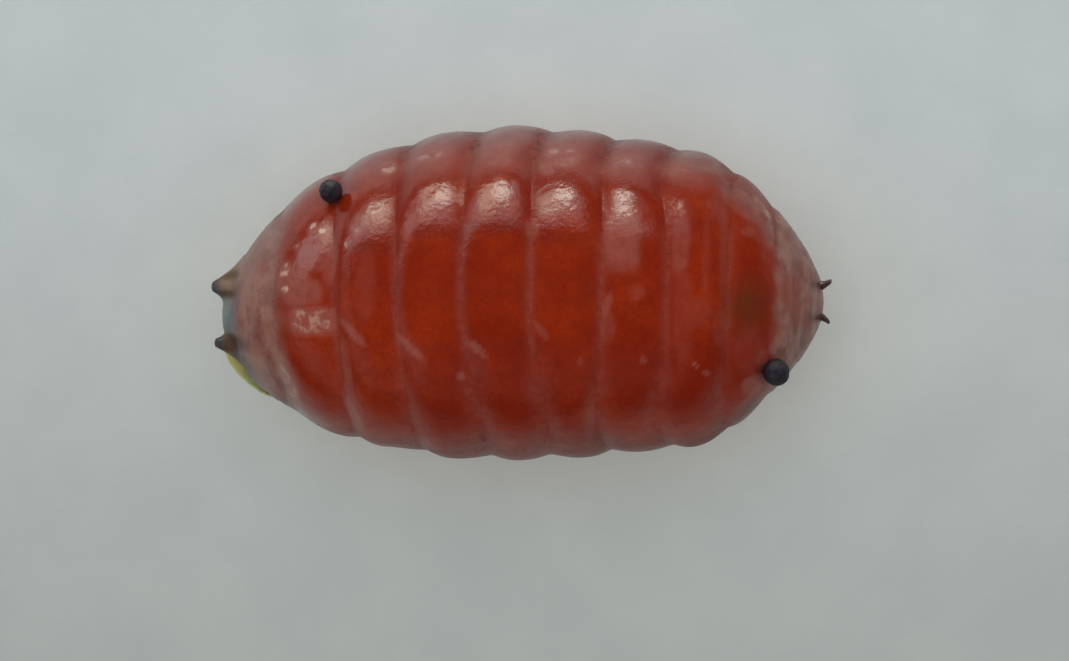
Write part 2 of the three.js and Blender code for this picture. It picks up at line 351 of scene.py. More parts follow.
# %% Dents and bulges
DENTS = [  # place, half sizes, turn in degrees and depth, less than 0 for a bulge
    (627, 206, 22, 2.5, 4, 0.0012), (563, 205, 16, 3.0, -8, 0.0008), (425, 196, 3.5, 12, 50, 0.002),
    (310, 250, 5, 16, 10, 0.003), (300, 300, 5, 14, -8, 0.003), (318, 322, 14, 4, 0, 0.003),
    (766, 214, 4, 26, -38, 0.0025), (700, 368, 9, 2.4, 32, -0.003), (390, 395, 6, 5, 0, -0.0025),
    (460, 372, 5, 5, 0, -0.0025), (507, 395, 5, 6, 0, -0.0022), (580, 360, 6, 5, 0, -0.0022),
    (625, 380, 5, 6, 0, -0.0022), (370, 343, 20, 3, 6, 0.0016), (433, 349, 25, 3, 0, 0.0016),
    (500, 345, 26, 3, -3, 0.0016), (368, 360, 16, 7, 6, -0.0014), (433, 366, 22, 8, 0, -0.0014),
    (500, 362, 22, 8, -3, -0.0014),
]


def patch(px, py, half_x, half_y, turn, softness=1.0, power=2):
    """1 inside an oval where the camera sees that place. A higher power makes it a rounded box."""
    c, s = math.cos(math.radians(turn)), math.sin(math.radians(turn))
    across, down = sx - px, sy - py
    wide, tall = np.abs(across * c + down * s) / half_x, np.abs(down * c - across * s) / half_y
    far = (wide ** power + tall ** power) ** (1 / power)
    above_flank = ramp(-0.3, 0.0, np.sin(angle))
    return ramp(1 + softness, max(0.0, 1 - softness), far) * above_flank


for px, py, half_x, half_y, turn, depth in DENTS:
    extra -= depth * patch(px, py, half_x, half_y, turn)
shaped = on_skin(along, angle, extra)
print("dents:", len(DENTS))

# %% Flat belly
BELLY_SOFTNESS, BELLY_REACH = 0.02, 0.2
low = shaped[:, 2]
lifted = 0.5 * (low + np.sqrt(low * low + BELLY_SOFTNESS ** 2))
shaped[:, 2] = lifted - 0.5 * BELLY_SOFTNESS * ramp(BELLY_REACH, 0.0, np.abs(low))
shaped[:, 2] = np.maximum(shaped[:, 2], 0)
print("vertices on the table:", int((shaped[:, 2] < 0.001).sum()))

# %% [markdown]
# ## The tail's horns
# Each horn is a short cone with hollow sides and a blunt tip. They are grown out of the same skin, so their
# feet flow into it: every vertex near a horn slides outwards along the horn until it lies on the cone. A
# low saddle joins the two.

# %% Tail horns and saddle, pulled out of the skin
TAIL_HORNS = [  # root, tip, and the half width at each
    ((-1.122, 0.025, 0.51), (-1.250, 0.026, 0.57), 0.128, 0.023),
    ((-1.13, -0.208, 0.49), (-1.242, -0.198, 0.545), 0.080, 0.02),
]
HOLLOW_SIDES, FILLET = 0.35, 0.010
SADDLE_AT, SADDLE_HALF = np.array([-1.158, -0.092, 0.5]) + SHIFT, (0.058, 0.125, 0.075)


def grown(now, wanted):
    """The greater of two heights, with a soft fillet where they meet."""
    gap = np.clip(1 - np.abs(now - wanted) / (4 * FILLET), 0, 1)
    return np.maximum(now, wanted) + gap * gap * FILLET


horn_mask = np.zeros(len(shaped))
horn_tip = np.zeros(len(shaped))
tail_side = shaped[:, 0] < -0.9
aside, aloft = (shaped[:, 1] - SADDLE_AT[1]) / SADDLE_HALF[1], (shaped[:, 2] - SADDLE_AT[2]) / SADDLE_HALF[2]
saddle = 1 - aside ** 2 - aloft ** 2
behind = -(SADDLE_AT[0] - SADDLE_HALF[0] * np.sqrt(np.clip(saddle, 0, 1)))
move = tail_side & (saddle > 0)
shaped[move, 0] = -grown(-shaped[move, 0], behind[move])
saddle_mask = ramp(-0.9, 0.1, saddle) * tail_side * ramp(-1.10, -1.15, shaped[:, 0])
for root, tip, root_radius, tip_radius in TAIL_HORNS:
    root, tip = np.array(root) + SHIFT, np.array(tip) + SHIFT
    length = np.linalg.norm(tip - root)
    axis = (tip - root) / length
    t = (shaped - root) @ axis
    r = np.linalg.norm(shaped - root - np.outer(t, axis), axis=1)
    inwards = np.clip((root_radius - r) / (root_radius - tip_radius), 0, 1)
    cone = (length - tip_radius * 0.5) * (HOLLOW_SIDES * inwards ** 2 + (1 - HOLLOW_SIDES) * inwards)
    cone += tip_radius * 0.5 * np.sqrt(np.clip(1 - (r / tip_radius) ** 2, 0, 1))
    move = tail_side & (r < root_radius * 1.25)
    cone = np.where(r < root_radius, cone, -1)
    shaped[move] += np.outer(grown(t[move], cone[move]) - t[move], axis)
    t = (shaped - root) @ axis
    reach = ramp(root_radius * 1.05, root_radius * 0.7, r) * tail_side
    horn_mask = np.maximum(horn_mask, reach * ramp(0.0, 0.05, t))
    horn_tip = np.maximum(horn_tip, reach * ramp(length * 0.68, length * 0.97, t))
move_to(skin, shaped)
print("skin box in mm:", shaped.min(0).round(3), shaped.max(0).round(3))

# %% [markdown]
# ## Marks for the skin's colours
# The colours of the dried skin follow its shape: pale lines in the grooves, clear red ovals between them,
# dull wrinkled ends, a brown scar before the head, and dark blots in the grooves near the edges. Some of
# them are painted light: glints and reflections painted pale, paler wrinkle ridges that are partly painted
# highlights, shade painted darker in the hollows and at the tops of the ovals, and sheen painted grey along
# the outline. The pale groove lines are partly the paler skin there and partly painted reflection. They could
# be drawn on an unwrapped map. Here each kind is one number kept on the vertices, like a painted vertex mask,
# because it can then be worked out from the shape itself, and the material reads it by its name.

# %% Helper for painting a mark
def strongest(places, softness, power=2):
    """The greatest of several patches, each with a place, half sizes, a turn and a strength."""
    most = np.zeros(len(sx))
    for px, py, half_x, half_y, turn, strength in places:
        most = np.maximum(most, strength * patch(px, py, half_x, half_y, turn, softness, power))
    return most


print("rows of the picture over the skin:", round(sy.min()), "to", round(sy.max()))

# %% Mark: pale places, which are painted glints and reflections
# The pale mark is painted reflection: glints, the window's reflection on the rings and the pale veils below
# it.
PAINTED_GLINTS = [  # place, half sizes, turn and strength
    (313, 225, 4, 2.5, -20, 1), (322, 231, 4.5, 3, -25, 1), (315, 237, 6, 2.5, 0, 0.95),
    (319, 232, 12, 10, 0, 0.55), (297, 246, 4, 2.5, -30, 0.85), (305, 240, 3, 2, 0, 0.8),
    (284, 274, 4.5, 4, 10, 1), (286, 265, 3, 3, 0, 0.8), (286, 288, 4.5, 3, 0, 0.95),
    (347, 243, 3, 5, 20, 0.95), (375, 207, 11, 7, -10, 0.9), (360, 222, 9, 16, 35, 0.68),
    (547, 210, 8, 7, -20, 0.45), (514, 187, 5, 7, 0, 0.6), (388, 168, 10, 7, -20, 0.75),
    (547, 168, 8, 7, 0, 0.55), (571, 193, 7, 7, 0, 0.65), (532, 228, 7, 10, 0, 0.4),
    (346, 360, 4, 24, -10, 0.35), (289, 286, 7, 12, 0, 0.5), (608, 327, 8, 16, 0, 0.22),
    (720, 328, 8, 18, 0, 0.15), (365, 285, 11, 40, 3, 0.14), (683, 318, 10, 50, 0, 0.14),
    (748, 348, 14, 26, 10, 0.16), (637, 293, 8, 7, 0, 0.2), (700, 312, 12, 16, 0, 0.16),
    (330, 262, 7, 26, 5, 0.3), (680, 205, 3.5, 5, 0, 0.72), (352, 332, 4, 20, -43, 0.5),
    (411, 348, 4, 19, -46, 0.5), (476, 348, 4, 14, -52, 0.45), (541, 331, 3.5, 11, -38, 0.35),
    (607, 306, 4, 13, 15, 0.35), (763, 208, 3, 15, -36, 0.85), (771, 225, 2.5, 10, -12, 0.75),
    (781, 300, 3.5, 24, 2, 0.4), (789, 348, 10, 4, 20, 0.45), (752, 387, 10, 10, 40, 0.6),
    (762, 360, 7, 10, 10, 0.4), (748, 232, 8, 5, 10, 0.25), (783, 318, 4, 16, 0, 0.35),
    (743, 404, 3, 16, 55, 0.35), (354, 415, 4, 24, -28, 0.6), (289, 383, 5, 24, -26, 0.8),
    (695, 365, 4, 2, 25, 0.7), (705, 373, 5, 2.5, 30, 0.6), (643, 360, 3, 3, 0, 0.5),
    (461, 376, 4, 5, 0, 0.5), (580, 361, 3, 5, 0, 0.4), (627, 158, 5, 2.5, -10, 0.6),
    (567, 160, 15, 8, -8, 0.65), (500, 160, 14, 7, -8, 0.45), (438, 162, 14, 7, -14, 0.3),
    (690, 172, 12, 8, 20, 0.35), (706, 255, 4, 45, 2, 0.12), (723, 245, 3.5, 50, 2, 0.12),
]
PAINTED_REFLECTION_PANES = [  # the same, and how square each is
    (315, 256, 19, 15, 5, 0.46, 4), (286, 279, 8, 18, 5, 0.65, 3), (374, 223, 14, 9, 0, 0.3, 3),
    (302, 292, 20, 14, 0, 0.55, 3), (301, 288, 12, 16, 0, 0.45, 3), (312, 321, 22, 14, 3, 0.76, 4),
    (623, 240, 17, 30, 2, 0.5, 5), (681, 243, 8, 34, 2, 0.32, 3),
]
PAINTED_GLINT_SOFTNESS = 0.3
# The band is a painted reflection of the table along the upper side of each ring.
REFLECTION_BAND_UP, REFLECTION_BAND_REACH, REFLECTION_BAND_STRENGTH = 32.5, 7.0, 0.72  # a pale band, in degrees up from the left flank
pale = strongest(PAINTED_GLINTS, PAINTED_GLINT_SOFTNESS)
for *pane, squareness in PAINTED_REFLECTION_PANES:
    pale = np.maximum(pale, strongest([pane], PAINTED_GLINT_SOFTNESS, squareness))
reflection_band = np.exp(-(((np.degrees(angle) - REFLECTION_BAND_UP) / REFLECTION_BAND_REACH) ** 2))
reflection_band *= ramp(0.02, 0.22, share) * ramp(0.88, 0.5, share)
reflection_band *= ramp(-0.75, -0.4, along) * ramp(0.95, 0.6, along)
mark(skin, "pale", np.maximum(pale, REFLECTION_BAND_STRENGTH * reflection_band))
print("pale places:", len(PAINTED_GLINTS) + len(PAINTED_REFLECTION_PANES))

# %% Marks: dull ends, painted sheen along the outline, wrinkles with painted highlights, and scar
# Grey-pink places at both ends and along the outline: partly the ends' own dull grey, partly sheen painted
# grey.
ASH = [  # dull grey-pink places beside the two ends: place, half sizes, turn and strength
    (700, 160, 34, 9, 20, 0.6), (745, 200, 32, 11, 42, 0.75), (772, 232, 10, 18, -20, 0.7),
    (708, 436, 40, 9, -14, 0.35), (752, 412, 28, 10, -42, 0.5), (258, 378, 12, 10, 40, 0.5),
]
CLEARER = [(789, 292, 9, 17, 0, 0.4)]  # a less dull place in the head's cap
# The palest places at the ends: partly their own pale grey, partly glints painted along the tail's lower edge.
PALEST = [(254, 250, 14, 44, 22, 1), (256, 368, 11, 30, -32, 1), (286, 372, 7, 22, -28, 0.6),
          (267, 288, 10, 20, 0, 0.5)]
PALEST_AT_HEAD = [(789, 252, 9, 14, -20, 0.4), (783, 318, 5, 22, 0, 0.35)]
SCAR = [(748, 306, 20, 25, 8, 1.0)]
UPPER_EDGE, LOWER_EDGE, UPPER_GROOVES = (154, 138), (424, 446), (186, 165)  # rows of the picture
border = along + 0.016 * noise_at(smooth_skin, 0.09, 5, 3)
dull_and_sheen = np.maximum(ramp(-0.865, -0.945, border), ramp(0.955, 0.995, border))
# Along the top and bottom outline and in the grooves near the top, grey is painted as sheen.
dull_and_sheen = np.maximum(dull_and_sheen, 0.42 * over_rows(UPPER_EDGE))
dull_and_sheen = np.maximum(dull_and_sheen, 0.35 * over_rows(LOWER_EDGE))
dull_and_sheen = np.maximum(dull_and_sheen, 0.35 * near_groove(0.035) * over_rows(UPPER_GROOVES))
dull_and_sheen = np.maximum(dull_and_sheen, strongest(ASH, 0.6)) * (1 - strongest(CLEARER, 0.6))
# The ridges of the wrinkles at both ends are painted paler, partly as painted highlights.
ridges_and_glints = ramp(0.05, 0.5, round_folds) * np.maximum(0.6 * towards_tail, towards_head)
ridges_and_glints *= np.sin(angle) > -0.3
palest = np.maximum(strongest(PALEST, 0.6), strongest(PALEST_AT_HEAD, 0.5))
mark(skin, "dull_and_sheen", dull_and_sheen)
mark(skin, "wrinkle_and_glint", np.maximum(ridges_and_glints, 0.9 * palest))
mark(skin, "satin", np.maximum(ramp(-0.88, -0.98, along), ramp(0.5, 0.85, along)))
mark(skin, "scar", strongest(SCAR, 0.8))
print("dull share of the skin:", dull_and_sheen.mean().round(3))

# %% Marks: groove lines, partly painted reflection, and painted shade in the hollows
GROOVE_REACH, WIDER_BELOW, WIDER_ABOVE = 0.018, 0.028, 0.014
WIDER_BELOW_ROWS, WIDER_ABOVE_ROWS = (350, 395), (190, 170)
FADED_ROW, FADED_HALF, FADED = 362, 12, 0.55
LINES_BELOW, LINES_ABOVE = (215, 250), (184, 168)
HOLLOWS_ABOVE, HOLLOWS_BELOW = (375, 350), (165, 190)
# Creases below the red ovals, painted darker as shade.
BELOW_OVALS = [(372, 343, 20, 3, 6, 0.8), (433, 349, 25, 3, 0, 0.8), (500, 345, 26, 3, -3, 0.8)]
groove_reach = GROOVE_REACH + WIDER_BELOW * over_rows(WIDER_BELOW_ROWS)
groove_reach += WIDER_ABOVE * over_rows(WIDER_ABOVE_ROWS)
faded = 1 - FADED * np.exp(-(((sy - FADED_ROW) / FADED_HALF) ** 2))
# The pale lines in the grooves are partly the paler skin there and partly painted reflection, so they show
# only in some rows.
lines_seen = over_rows(LINES_BELOW) + 0.9 * over_rows(LINES_ABOVE)
mark(skin, "groove_line_and_sheen", near_groove(groove_reach) * faded * lines_seen)
# Painted shade: the hollows of the grooves are painted darker, most of all between rows 190 and 350.
shaded_hollows = near_groove(0.03) * (0.3 + 0.7 * over_rows(HOLLOWS_ABOVE) * over_rows(HOLLOWS_BELOW))
mark(skin, "hollow_shade", np.maximum(shaded_hollows, strongest(BELOW_OVALS, 1.0)))
print("the lines in the grooves reach", groove_reach.min().round(3), "to", groove_reach.max().round(3), "mm")

# %% Marks: red ovals, painted shade at their tops, matt places and shaded rim
OVALS = [(369, 293, 27, 52), (430, 291, 30, 67), (496, 286, 31, 66), (560, 288, 27, 56)]  # place, half sizes
OVAL_SOFTNESS, OVAL_SQUARENESS, OVAL_ROWS = 0.07, 2.6, (285, 258)
# Painted shade: the top of each red oval is painted a deeper red.
OVAL_EDGES = [  # deeper red above the ovals: place and half sizes
    (372, 247, 22, 7), (398, 243, 6, 9), (432, 231, 24, 7), (458, 238, 7, 11), (494, 227, 24, 7),
    (562, 238, 20, 6),
]
MATT = [  # places without a clear coat: place, half sizes and strength
    (692, 218, 14, 26, 0.75), (650, 200, 12, 24, 0.5), (675, 211, 14, 28, 0.85), (456, 194, 8, 24, 0.65),
    (640, 212, 12, 14, 0.4), (664, 205, 9, 22, 0.5), (710, 205, 10, 22, 0.5), (700, 190, 18, 10, 0.5),
    (609, 203, 8, 16, 0.6), (545, 188, 7, 10, 0.4), (456, 240, 9, 14, 0.7), (399, 243, 8, 14, 0.7),
]
MATT_GROOVES, MATT_EDGE, MATT_BEHIND = (232, 215), (412, 442), (185, 160)  # rows of the picture
wider = over_rows(MATT_GROOVES)
matt = np.exp(-((to_groove / (0.024 + 0.008 * wider)) ** 2)) * (0.5 + 0.5 * wider)
matt *= ramp(0, 0.5, near_depth)
matt += 0.7 * over_rows(MATT_EDGE) + 0.3 * ramp(0.6, 0.85, share) * over_rows(MATT_BEHIND)
for px, py, half_x, half_y, strength in MATT:
    matt += strength * patch(px, py, half_x, half_y, 0, 0.6)
ovals = strongest([(*oval, 0, 1.0) for oval in OVALS], OVAL_SOFTNESS, OVAL_SQUARENESS)
matt = np.maximum(matt, 0.8 * ovals * over_rows(OVAL_ROWS))
rim = ramp(30, 10, np.minimum(from_left, from_right))
mark(skin, "matt", np.minimum(matt + 0.45 * rim, 1))
mark(skin, "shade", rim * (0.85 + 0.15 * (np.abs(angle) > 0.5 * np.pi)))
mark(skin, "oval_top_shade", strongest([(*edge, 0, 1.0) for edge in OVAL_EDGES], 0.6))
print("red ovals:", len(OVALS))

# %% Marks: dark patches, rosy places and dark blots
# Darker beside the front dropping, and dark patches and streaks near the head.
DARK_BESIDE_DROPPING = [(767, 372, 10, 9, 0, 1.0)]
DARK_PATCHES = [(817, 286, 7, 5, 0, 0.6), (816, 318, 7, 5, 0, 0.6), (792, 236, 7, 5, 30, 0.3)]
DARK_STREAKS = [(775, 236, 1.8, 20, -3, 0.45), (749, 408, 5, 15, 52, 0.6), (801, 346, 5, 12, 18, 0.4)]
ROSY = [(795, 309, 6, 24, 3, 1), (787, 294, 7, 20, -4, 0.95), (802, 270, 8, 10, -20, 0.5),
        (790, 233, 6, 9, 28, 0.9), (746, 203, 16, 6, 40, 0.5)]
# Dark blots in the grooves near the top and bottom edges.
BLOTS_ABOVE, BLOTS_BELOW = (175, 145), (415, 445)
dark_marks = np.maximum(strongest(DARK_PATCHES, 0.6), strongest(DARK_STREAKS, 0.8))
mark(skin, "dark_patch", np.maximum(dark_marks, strongest(DARK_BESIDE_DROPPING, 0.5)))
mark(skin, "rosy", strongest(ROSY, 0.6))
mark(skin, "groove_blots", near_groove(0.035) * np.maximum(over_rows(BLOTS_ABOVE), 0.6 * over_rows(BLOTS_BELOW)))
print("stains:", len(DARK_BESIDE_DROPPING + DARK_PATCHES + DARK_STREAKS))

# %% Marks: colours of the tail's end
PLATFORM = [(226, 316, 11, 38, 0, 1.0)]
PLATFORM_STRIP = [(247, 367, 5, 26, -33, 0.8)]
TEAL_EDGE = [(224, 320, 4, 22, 6, 1), (220, 278, 5, 9, 50, 0.6)]
HORN_FEET = [(229, 294, 6, 4, 10, 0.9), (234, 275, 6, 4, -40, 0.8), (240, 359, 5, 12, -40, 0.8)]
LOWER_FOOT = [(230, 344, 16, 10, 14, 0.95)]
high = shaped[:, 2]
tail_end = (shaped[:, 0] < -1.0) * ramp(0.3, 0.42, high) * ramp(0.9, 0.7, high)
platform = np.maximum(strongest(PLATFORM, 0.35, 3), strongest(PLATFORM_STRIP, 0.7))
horn_foot = np.maximum(strongest(HORN_FEET, 0.7), strongest(LOWER_FOOT, 0.5))
mark(skin, "platform", platform * tail_end)
mark(skin, "teal_edge", strongest(TEAL_EDGE, 0.8) * tail_end)
mark(skin, "horn_foot", horn_foot * tail_end)
mark(skin, "horn", horn_mask)
mark(skin, "horn_tip", horn_tip)
mark(skin, "saddle", saddle_mask)
print("marks:", [a.name for a in skin.data.attributes if a.data_type == "FLOAT"])

# %% [markdown]
# ## The head's horns
# They are two thin bent spikes. Each starts as a small circle sunk in the skin, is extruded along its path
# with less width at each step, and closes in a blunt point.

# %% Head horns
HEAD_HORNS = [  # places along each horn, and the half width there
    [(1.12, 0.010, 0.43, 0.04), (1.166, 0.020, 0.445, 0.032), (1.188, 0.027, 0.455, 0.0185),
     (1.209, 0.037, 0.464, 0.0135), (1.223, 0.045, 0.47, 0.0105)],
    [(1.12, -0.076, 0.43, 0.04), (1.164, -0.084, 0.445, 0.032), (1.184, -0.093, 0.455, 0.0185),
     (1.203, -0.106, 0.464, 0.0135), (1.215, -0.117, 0.47, 0.0105)],
]
HORN_SIDES, TIP_STEP, TIP_SHARE = 14, (0.0025, 0.001, 0), 0.5
horn_pieces = []
for number, path in enumerate(HEAD_HORNS):
    start = np.array(path[0][:3]) + SHIFT
    bpy.ops.mesh.primitive_circle_add(vertices=HORN_SIDES, radius=path[0][3] * MM, location=start * MM,
                                      rotation=(0, math.pi / 2, 0), fill_type="NGON")
    horn = bpy.context.object
    horn.name = f"head_horn_{number}"
    bpy.ops.object.transform_apply()
    bpy.ops.object.mode_set(mode="EDIT")
    bpy.ops.mesh.select_all(action="SELECT")
    for (x0, y0, z0, r0), (x1, y1, z1, r1) in zip(path[:-1], path[1:]):
        extrude_by(x1 - x0, y1 - y0, z1 - z0)
        centre = np.array([x1, y1, z1]) + SHIFT
        narrow(r1 / r0, centre)
    extrude_by(*TIP_STEP)
    narrow(TIP_SHARE, centre)
    bpy.ops.mesh.select_all(action="SELECT")
    bpy.ops.mesh.normals_make_consistent()
    bpy.ops.object.mode_set(mode="OBJECT")
    subdivide(horn)
    horn_pieces.append(horn)
print("head horns:", len(horn_pieces))

# %% [markdown]
# ## The droppings
# A dropping is a dry, lumpy black pellet. An icosphere is a good start for such a lump, since its faces are
# even all over, and its vertices are then pushed in and out by noise of three sizes.

# %% Droppings
GRAINS = [  # solid, name, half width and number of its noise
    ("frass_grain_rear", "dropping_rear", 0.046, 11), ("frass_grain_front", "dropping_front", 0.052, 23)]
LUMPS = [(0.05, 0.9), (0.028, 0.3), (0.010, 0.1)]  # height and size of each kind, as shares of the half width
DEEPEST, HIGHEST = -0.08, 0.05
droppings = []
for node, name, radius, seed in GRAINS:
    lowest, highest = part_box(node)
    centre = np.array((lowest + highest) / 2) / MM
    bpy.ops.mesh.primitive_ico_sphere_add(subdivisions=6, radius=radius * MM, location=centre * MM)
    dropping = bpy.context.object
    dropping.name = name
    bpy.ops.object.transform_apply()
    ball = places_of(dropping)
    way = (ball - centre) / np.linalg.norm(ball - centre, axis=1)[:, None]
    rough = sum(height * noise_at(way, size, seed + kind, 2) for kind, (height, size) in enumerate(LUMPS))
    move_to(dropping, centre + way * (radius * (1 + np.clip(rough, DEEPEST, HIGHEST)))[:, None])
    droppings.append(dropping)
print("droppings:", [d.name for d in droppings])

# %% [markdown]
# ## The leaf shred
# It is a thin curled flake that lies under the right side of the tail. A grid is laid along the skin, its
# long edge stands off, and Solidify gives it the thickness of a leaf's outer layer.

# %% Leaf shred
SHRED_FROM, SHRED_TO, SHRED_INNER, SHRED_OUTER = -1.180, -1.005, 214.0, 191.0  # along in mm, around in degrees
SHRED_GAP, SHRED_THICK, RAGGED, RIPPLE = 0.012, 0.006, 0.06, 0.002
STAND_AT, STAND = [0, 0.12, 0.5, 0.8, 1], [0.050, 0.056, 0.034, 0.022, 0.010]  # how far its edge stands off
bpy.ops.mesh.primitive_grid_add(x_subdivisions=72, y_subdivisions=24, size=1 * MM, location=(0, 0, 0))
shred = bpy.context.object
shred.name = "leaf_shred_flake"
grid = places_of(shred)
lengthwise, crosswise = grid[:, 0] + 0.5, grid[:, 1] + 0.5
taper = np.maximum(0.12, np.sin(np.pi * (0.04 + 0.92 * lengthwise)) ** 0.6)
along_edge = np.stack([lengthwise * 9, crosswise * 0, crosswise * 0], -1)
ragged = 1 + RAGGED * noise_at(along_edge, 1.0, 31, 3) * crosswise
u = SHRED_FROM + (SHRED_TO - SHRED_FROM) * lengthwise
turn = np.radians(SHRED_INNER + (SHRED_OUTER - SHRED_INNER) * taper * ragged * crosswise)
base = on_skin(u, turn)
STEP = 1e-3
ahead, round_ = on_skin(u + STEP, turn) - base, on_skin(u, turn + STEP) - base
out = np.cross(round_, ahead)
out /= np.linalg.norm(out, axis=1)[:, None]
stand = np.interp(lengthwise, STAND_AT, STAND) * crosswise ** 1.5
ripple = RIPPLE * noise_at(base, 0.05, 37, 2)
move_to(shred, base + out * (SHRED_GAP + stand + ripple)[:, None])
mark(shred, "crosswise", crosswise)
mark(shred, "lengthwise", lengthwise)
thicken = shred.modifiers.new("thickness", "SOLIDIFY")
thicken.thickness = SHRED_THICK * MM
thicken.offset = 0
select_only(shred)
bpy.ops.object.modifier_apply(modifier=thicken.name)
print("shred vertices:", len(shred.data.vertices))

# %% [markdown]
# ## Materials
# Small helpers keep the node trees readable. One adds a node with its settings and its inputs.

# %% Node helpers
def new_material(name):
    material = bpy.data.materials.new(name)
    material.use_nodes = True
    tree = material.node_tree
    tree.nodes.clear()
    output = tree.nodes.new("ShaderNodeOutputMaterial")
    shader = tree.nodes.new("ShaderNodeBsdfPrincipled")
    tree.links.new(shader.outputs["BSDF"], output.inputs["Surface"])
    return material, tree, shader


def fill_in(tree, made, sockets):
    """Gives each named input of a node its value, or joins it to the socket that the value comes from."""
    for name, value in dict(sockets).items():
        if isinstance(value, bpy.types.NodeSocket):
            tree.links.new(value, made.inputs[name])
        else:
            made.inputs[name].default_value = value


def node(tree, kind, sockets=(), **settings):
    made = tree.nodes.new(kind)
    for name, value in settings.items():
        setattr(made, name, value)
    fill_in(tree, made, sockets)
    return made


def calc(tree, operation, *values):
    return node(tree, "ShaderNodeMath", dict(enumerate(values)), operation=operation).outputs[0]


def times(tree, first, second):
    return calc(tree, "MULTIPLY", first, second)


def masked(tree, name):
    return node(tree, "ShaderNodeAttribute", attribute_name=name).outputs["Fac"]


def spread(tree, value, low, high, to_low=0.0, to_high=1.0):
    """Spreads a value smoothly from between two limits to between two others."""
    made = node(tree, "ShaderNodeMapRange", {"Value": value, "From Min": low, "From Max": high,
                                             "To Min": to_low, "To Max": to_high},
                interpolation_type="SMOOTHSTEP")
    return made.outputs[0]


def blend(tree, share, first, second, how="MIX"):
    made = node(tree, "ShaderNodeMix", data_type="RGBA", blend_type=how)
    for index, value in ((0, share), (6, first), (7, second)):
        if isinstance(value, bpy.types.NodeSocket):
            tree.links.new(value, made.inputs[index])
        elif index == 0:
            made.inputs[0].default_value = value
        else:
            made.inputs[index].default_value = (*value, 1)
    return made.outputs[2]


def laid_over(tree, colour, share, amount, tint):
    """Lays a tint over a colour where the share is more than 0, as thickly as the amount."""
    return blend(tree, times(tree, share, amount), colour, tint)


def relief(tree, shader, height, distance, strength=1.0):
    """Bumps the surface by the height, which is as high as the distance in metres."""
    bump = node(tree, "ShaderNodeBump", {"Height": height, "Strength": strength, "Distance": distance})
    fill_in(tree, shader, {"Normal": bump.outputs["Normal"]})
    return bump.outputs["Normal"]


print("helpers ready")

# %% [markdown]
# ### A lumpiness that several materials share
# Skin, droppings and leaf all have a fine uneven grain. It is one group: noise of a chosen size, in
# millimetres, stretched along the barrel if wanted, and spread between two limits.

# %% Group: grain
grain_group = bpy.data.node_groups.new("fine grain", "ShaderNodeTree")
face = grain_group.interface
for name, kind, usual in (("Size", "Float", 0.05), ("Stretch", "Vector", (1, 1, 1)),
                          ("Low", "Float", 0.3), ("High", "Float", 0.7)):
    face.new_socket(name, in_out="INPUT", socket_type="NodeSocket" + kind).default_value = usual
face.new_socket("Grain", in_out="OUTPUT", socket_type="NodeSocketFloat")
inside = node(grain_group, "NodeGroupInput")
place = node(grain_group, "ShaderNodeTexCoord").outputs["Object"]
in_mm = node(grain_group, "ShaderNodeVectorMath", {0: place, "Scale": 1000.0}, operation="SCALE").outputs[0]
stretched = node(grain_group, "ShaderNodeVectorMath", {0: in_mm, 1: inside.outputs["Stretch"]},
                 operation="MULTIPLY").outputs[0]
finer = calc(grain_group, "DIVIDE", 1.0, inside.outputs["Size"])
speckle = node(grain_group, "ShaderNodeTexNoise", {"Vector": stretched, "Scale": finer, "Detail": 4.0,
                                                   "Roughness": 0.55})
limits = node(grain_group, "ShaderNodeMapRange", {
    "Value": speckle.outputs["Fac"], "From Min": inside.outputs["Low"], "From Max": inside.outputs["High"]},
    interpolation_type="SMOOTHSTEP")
outside = node(grain_group, "NodeGroupOutput")
grain_group.links.new(limits.outputs[0], outside.inputs["Grain"])


def grain(tree, size, low=0.3, high=0.7, stretch=(1, 1, 1)):
    made = node(tree, "ShaderNodeGroup")
    made.node_tree = grain_group
    fill_in(tree, made, {"Size": size, "Low": low, "High": high, "Stretch": stretch})
    return made.outputs["Grain"]


print("group:", grain_group.name)

# %% [markdown]
# ### Skin
# The real skin is hard, smooth and a little see-through, dark red over the body and dull pinkish grey at
# its ends. A base that scatters some light under the surface and a clear coat over it give that depth and
# gloss.

# %% Skin material: the red body, with painted shade and painted reflections
CLEAR_RED, CLEAR_ORANGE = (0.285, 0.018, 0.003), (0.37, 0.031, 0.004)
MOTTLES = [(0.06, 0.7, 0.35, (0.20, 0.012, 0.004)), (0.018, 0.65, 0.3, (0.20, 0.009, 0.003))]
# Reds for painted shade in the hollows and at the tops of the ovals; pink for the groove lines, partly painted
# reflection.
HOLLOW_SHADE_RED, OVAL_TOP_SHADE_RED, GROOVE_LINE_AND_SHEEN_PINK = (0.22, 0.030, 0.018), (0.10, 0.008, 0.005), (0.37, 0.10, 0.075)
# Pink and near-white for the painted reflections and glints, brown for the scar.
REFLECTION_PINK, GLINT_PINK, SCAR_BROWN = (0.40, 0.14, 0.11), (0.66, 0.42, 0.34), (0.12, 0.028, 0.01)
skin_look, tree, shader = new_material("glossy puparium skin")
hollow_shade, painted_reflection_at, dull_and_sheen_at = masked(tree, "hollow_shade"), masked(tree, "pale"), masked(tree, "dull_and_sheen")
colour = blend(tree, grain(tree, 0.35, 0.35, 0.65), CLEAR_RED, CLEAR_ORANGE)
for size, high, amount, tint in MOTTLES:
    colour = laid_over(tree, colour, grain(tree, size, 0.35, high), amount, tint)
# Painted shade in the hollows of the grooves.
colour = laid_over(tree, colour, hollow_shade, 0.25, HOLLOW_SHADE_RED)
# Painted shade at the tops of the red ovals.
colour = laid_over(tree, colour, masked(tree, "oval_top_shade"), 0.3, OVAL_TOP_SHADE_RED)
